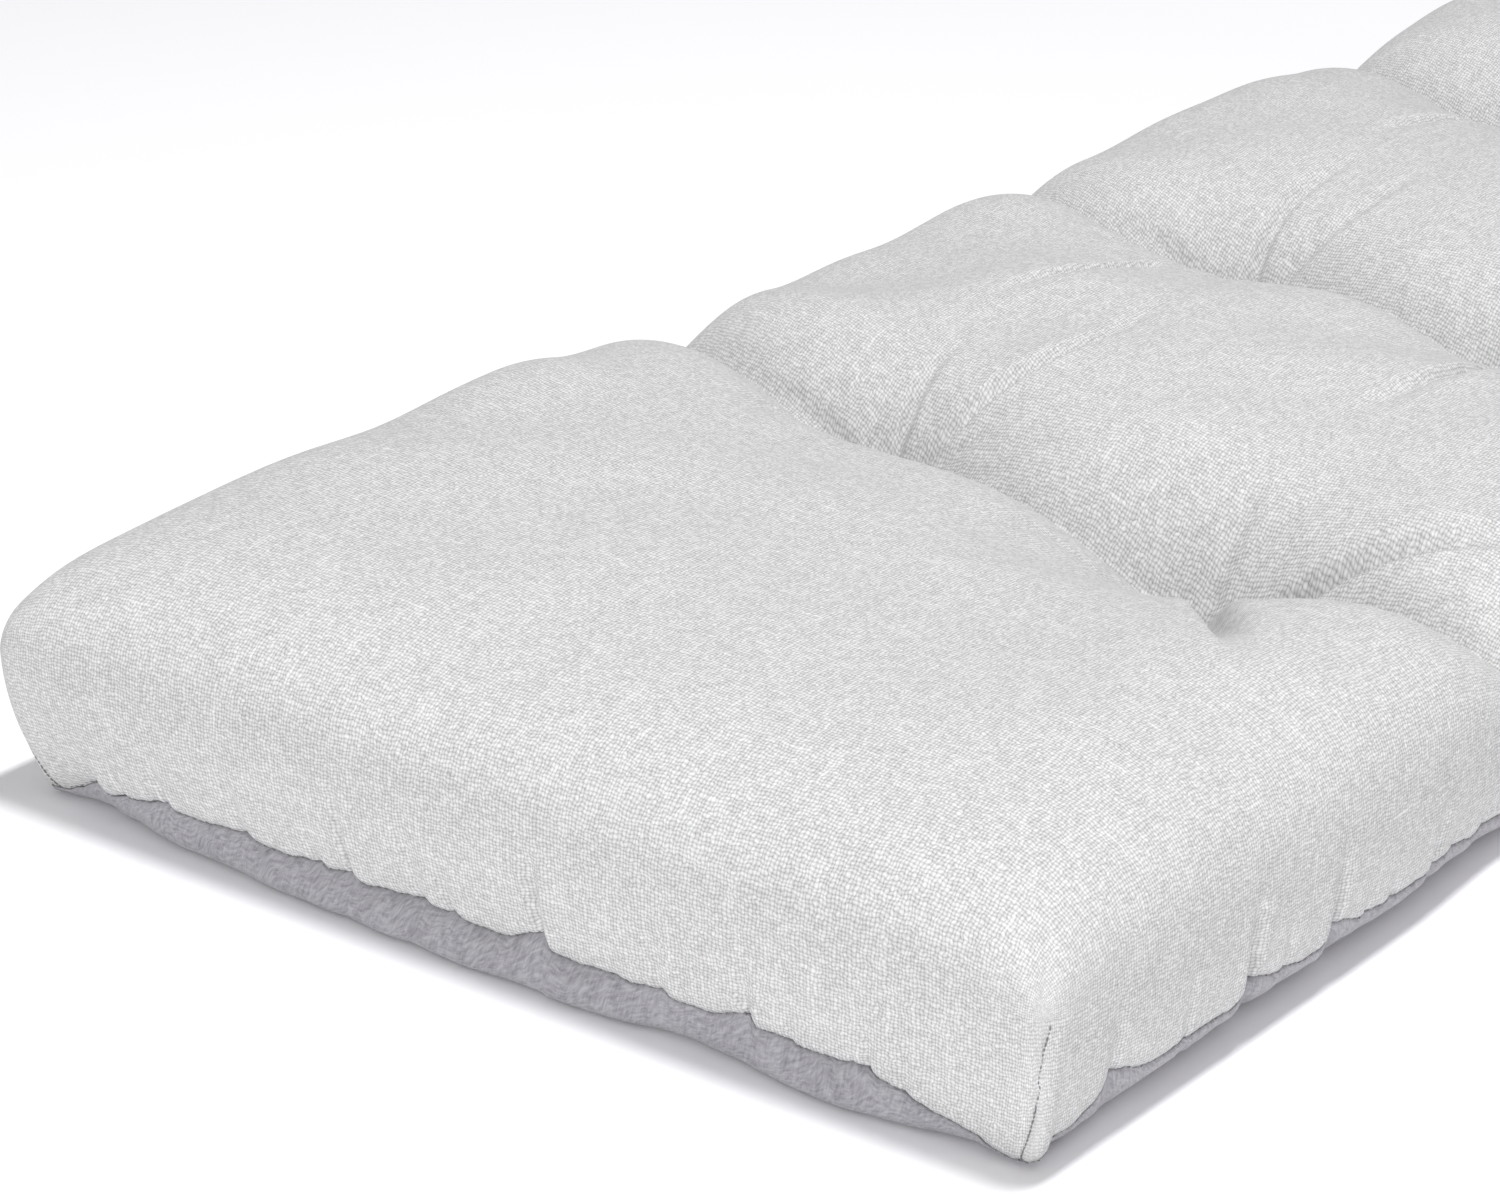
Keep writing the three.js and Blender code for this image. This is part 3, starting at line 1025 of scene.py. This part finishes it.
# Linen-look cover cloth: plain weave, each crossing a little different, with a few slubs. The
# waver is the wander of the threads, and tone and bump say how much each part adds to them. The
# relief's tone is painted shade: darker at the edges of each thread, in the gaps and where it goes under
coverCloth = {
    "threadPitch": 1.42 * mm,
    "underpass": 0.3,               # height of a thread where it goes under, as share of its top
    "light": (0.755, 0.755, 0.755),
    # dark is the tone of the painted shade between the threads, and of the darkest threads
    "dark": (0.295, 0.295, 0.295),
    "slub": (0.84, 0.84, 0.84),
    "slubFrom": 0.63,
    "slubGain": 9,
    "slubShare": 0.42,
    "waver": (90.0, 2.0),           # noise scale, and wander in threads
    "fineWaver": (330.0, 1.3),
    "threadStep": 3.7,              # noise places from thread to thread
    "toneScale": 45,
    "mottleScale": 110.0,
    "fibreScale": 1400.0,
    "tone": {
        "relief": 1.05,
        "crossing": 0.28,
        "thread": 0.07,
        "mottle": 0.02,
        "fibre": 0.5,
        "ground": 0.71,
    },
    "bump": {"crossing": 0.2, "slub": 0.3, "fibre": 0.4},
    "reliefHeight": 0.4 * mm,
    "reliefStrength": 0.2,
    "roughness": 0.93,
}


def threadHeight(across, along):
    # round thread across its width, going over and under along its length
    number = across.maths("FLOOR")
    middle = (across.maths("FRACT") - 0.5) * 2
    body = (1 - middle * middle).maths("MAXIMUM", 0.0).maths("SQRT")
    over = ((along + number) * math.pi).maths("SINE") * 0.5 + 0.5
    low = coverCloth["underpass"]
    return body * (low + (1 - low) * over), number


def makeCoverCloth():
    g = Graph("cover_cloth")
    cloth = g.node("ShaderNodeUVMap", {"uv_map": "cloth"})
    u, v, _ = g.split(cloth)
    tones, bumps = coverCloth["tone"], coverCloth["bump"]
    # the numbers added to v and to the thread's number keep the noises of the two ways apart
    fineScale, fineWander = coverCloth["fineWaver"]
    fineU = (g.noise(cloth, fineScale, 1.0) - 0.5) * fineWander
    fineV = (g.noise(g.join(v + 1.7, u), fineScale, 1.0) - 0.5) * fineWander
    scale, wander = coverCloth["waver"]
    waverU = (g.noise(cloth, scale, 3.0) - 0.5) * wander + fineU
    waverV = (g.noise(g.join(v + 3.1, u), scale, 3.0) - 0.5) * wander + fineV
    threadU = u / coverCloth["threadPitch"] + waverU
    threadV = v / coverCloth["threadPitch"] + waverV
    warp, warpNumber = threadHeight(threadU, threadV)
    weft, weftNumber = threadHeight(threadV, threadU + 1)
    relief = warp.maths("MAXIMUM", weft)
    numbers = g.join(warpNumber, weftNumber)
    crossing = g.node("ShaderNodeTexWhiteNoise", {"noise_dimensions": "2D"}, {0: numbers})
    step, toneScale = coverCloth["threadStep"], coverCloth["toneScale"]
    warpTone = g.noise(g.join(warpNumber * step, v * toneScale), 1.0, 2.0)
    weftTone = g.noise(g.join(weftNumber * step + 50, u * toneScale), 1.0, 2.0)
    warpSlub = ((warpTone - coverCloth["slubFrom"]) * coverCloth["slubGain"]).clamped() * warp
    weftSlub = ((weftTone - coverCloth["slubFrom"]) * coverCloth["slubGain"]).clamped() * weft
    slub = warpSlub.maths("MAXIMUM", weftSlub)
    mottle = g.noise(cloth, coverCloth["mottleScale"], 4.0, 0.6)
    fibre = g.noise(cloth, coverCloth["fibreScale"], 2.0)
    # the relief term paints shade into the colour, darker at thread edges, gaps and under-passes; crossing,
    # thread, mottle and fibre are the cloth's own random tone
    tone = relief * tones["relief"] + crossing * tones["crossing"] + (warpTone + weftTone) * tones["thread"]
    tone = tone + mottle * tones["mottle"] + fibre * tones["fibre"] - tones["ground"]
    color = g.blend(tone.clamped(), (*coverCloth["dark"], 1), (*coverCloth["light"], 1))
    color = g.blend(slub * coverCloth["slubShare"], color, (*coverCloth["slub"], 1))
    g.feed("Base Color", color)
    g.feed("Roughness", coverCloth["roughness"])
    height = relief + crossing * bumps["crossing"] + slub * bumps["slub"] + fibre * bumps["fibre"]
    g.bump(coverCloth["reliefStrength"], coverCloth["reliefHeight"], height)
    return g.material


# Brushed base cloth: lilac-grey felted hair with small dimples, darkened in colour as painted shade
baseCloth = {
    "light": (0.42, 0.413, 0.44),
    "dark": (0.195, 0.19, 0.208),
    "dimplePitch": 6.5 * mm,
    "dimpleSize": 3.4,              # more makes smaller dimples
    "dimpleRandomness": 0.75,
    "hairLength": 4.0,
    "hairScale": 230.0,
    "swayScale": 60.0,
    "sway": {"hair": 0.012, "cross": 0.006, "dimple": 0.004},
    "broadScale": 45.0,
    # the pit tone is painted shade in the dimples; hair, cross and broad are the cloth's own tone
    "tone": {"hair": 2.0, "cross": 1.3, "broad": 0.4, "pit": 0.4, "ground": 1.3},
    "bump": {"hair": 0.4, "cross": 0.3, "pit": 0.9},
    "reliefHeight": 0.5 * mm,
    "reliefStrength": 0.6,
    "roughness": 0.88,
    "sheen": 0.3,
}


def makeBaseCloth():
    g = Graph("base_cloth")
    cloth = g.node("ShaderNodeUVMap", {"uv_map": "cloth"})
    u, v, _ = g.split(cloth)
    tones, bumps, swayBy = baseCloth["tone"], baseCloth["bump"], baseCloth["sway"]
    stretch, hairScale = baseCloth["hairLength"], baseCloth["hairScale"]
    sway = g.noise(cloth, baseCloth["swayScale"])
    hairU = u + v * 0.35 + sway * swayBy["hair"]
    hair = g.noise(g.join(hairU * stretch, v), hairScale, 3.0, 0.6)
    cross = g.noise(g.join(u + sway * swayBy["cross"], v * stretch + u), hairScale, 3.0, 0.6)
    values = {
        "Vector": g.join(u + sway * swayBy["dimple"], v),
        "Scale": 1 / baseCloth["dimplePitch"],
        "Randomness": baseCloth["dimpleRandomness"],
    }
    dimple = g.node("ShaderNodeTexVoronoi", {"feature": "F1"}, values)
    pit = (1 - dimple * baseCloth["dimpleSize"]).maths("MAXIMUM", 0.0) * (hair + 0.3)
    broad = g.noise(cloth, baseCloth["broadScale"], 2.0)
    tone = hair * tones["hair"] + cross * tones["cross"] + broad * tones["broad"]
    # pit darkens the colour in each dimple: painted shade in the dimples
    tone = (tone - pit * tones["pit"] - tones["ground"]).clamped()
    g.feed("Base Color", g.blend(tone, (*baseCloth["dark"], 1), (*baseCloth["light"], 1)))
    g.feed("Roughness", baseCloth["roughness"])
    g.feed("Sheen Weight", baseCloth["sheen"])
    height = hair * bumps["hair"] + cross * bumps["cross"] - pit * bumps["pit"]
    g.bump(baseCloth["reliefStrength"], baseCloth["reliefHeight"], height)
    return g.material


cover.data.materials.append(makeCoverCloth())
base.data.materials.append(makeBaseCloth())

for piece, node, slot in ((cover, "cover", "cover_cloth"), (base, "base_panel", "base_cloth")):
    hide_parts(node)
    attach(piece, "root")
for thread in (seamThread, dartThread):
    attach(thread, "root")
print("pieces ride on the frame")

# Studio: a pale floor, a soft lamp overhead, two low lamps beyond the near end and beyond the near
# long side, and a pale sky. Lamps: name, place, the point it shines at, size and watts
studio = {
    "floorSize": 30.0,
    "floorTone": (0.95, 0.94, 0.965),
    "floorRoughness": 0.9,
    "skyTone": (1.0, 1.0, 1.0),
    "skyStrength": 0.46,
    "lamps": [
        ("overheadLamp", (-0.3, -0.45, 3.2), (-0.3, -0.45, 0.0), (0.8, 0.3), 76.0),
        ("frontLamp", (-3.0, -0.9, 0.6), (-0.3, 0.0, 0.05), (1.2, 1.2), 32.0),
        ("sideLamp", (-0.2, -3.2, 0.6), (-0.2, 0.0, 0.05), (1.2, 1.2), 13.0),
    ],
}


def makeStudio():
    side = studio["floorSize"] / 2
    corners = [(-side, -side, 0), (side, -side, 0), (side, side, 0), (-side, side, 0)]
    mesh = bpy.data.meshes.new("floor")
    mesh.from_pydata(corners, [], [(0, 1, 2, 3)])
    floor = bpy.data.objects.new("floor", mesh)
    bpy.context.scene.collection.objects.link(floor)
    g = Graph("floor_paint")
    g.feed("Base Color", (*studio["floorTone"], 1))
    g.feed("Roughness", studio["floorRoughness"])
    mesh.materials.append(g.material)

    world = bpy.data.worlds.new("sky")
    world.use_nodes = True
    background = world.node_tree.nodes["Background"]
    background.inputs["Color"].default_value = (*studio["skyTone"], 1)
    background.inputs["Strength"].default_value = studio["skyStrength"]
    bpy.context.scene.world = world

    for name, place, target, size, power in studio["lamps"]:
        lamp = bpy.data.lights.new(name, "AREA")
        lamp.shape = "ELLIPSE"
        lamp.size, lamp.size_y = size
        lamp.energy = power
        holder = bpy.data.objects.new(name, lamp)
        bpy.context.scene.collection.objects.link(holder)
        holder.location = place
        away = Vector(place) - Vector(target)
        holder.rotation_euler = away.to_track_quat("Z", "Y").to_euler()


makeStudio()

# Camera at the photograph's angle: compass heading from +X toward +Y, and angle down
view = {
    "place": (-1.4822, -0.8415, 0.6406),
    "heading": 38.5,
    "down": 22.3,
    "lens": 102.9,
    "sensor": 36,
    "reach": 100,
}


def makeCamera():
    lens = bpy.data.cameras.new("photo_camera")
    lens.lens = view["lens"]
    lens.sensor_width = view["sensor"]
    lens.sensor_fit = "HORIZONTAL"
    lens.clip_end = view["reach"]
    camera = bpy.data.objects.new("photo_camera", lens)
    bpy.context.scene.collection.objects.link(camera)
    camera.location = view["place"]
    turn = (math.radians(90 - view["down"]), 0, math.radians(view["heading"] - 90))
    camera.rotation_euler = Euler(turn)
    bpy.context.scene.camera = camera


makeCamera()
bpy.context.scene.view_settings.view_transform = "Standard"
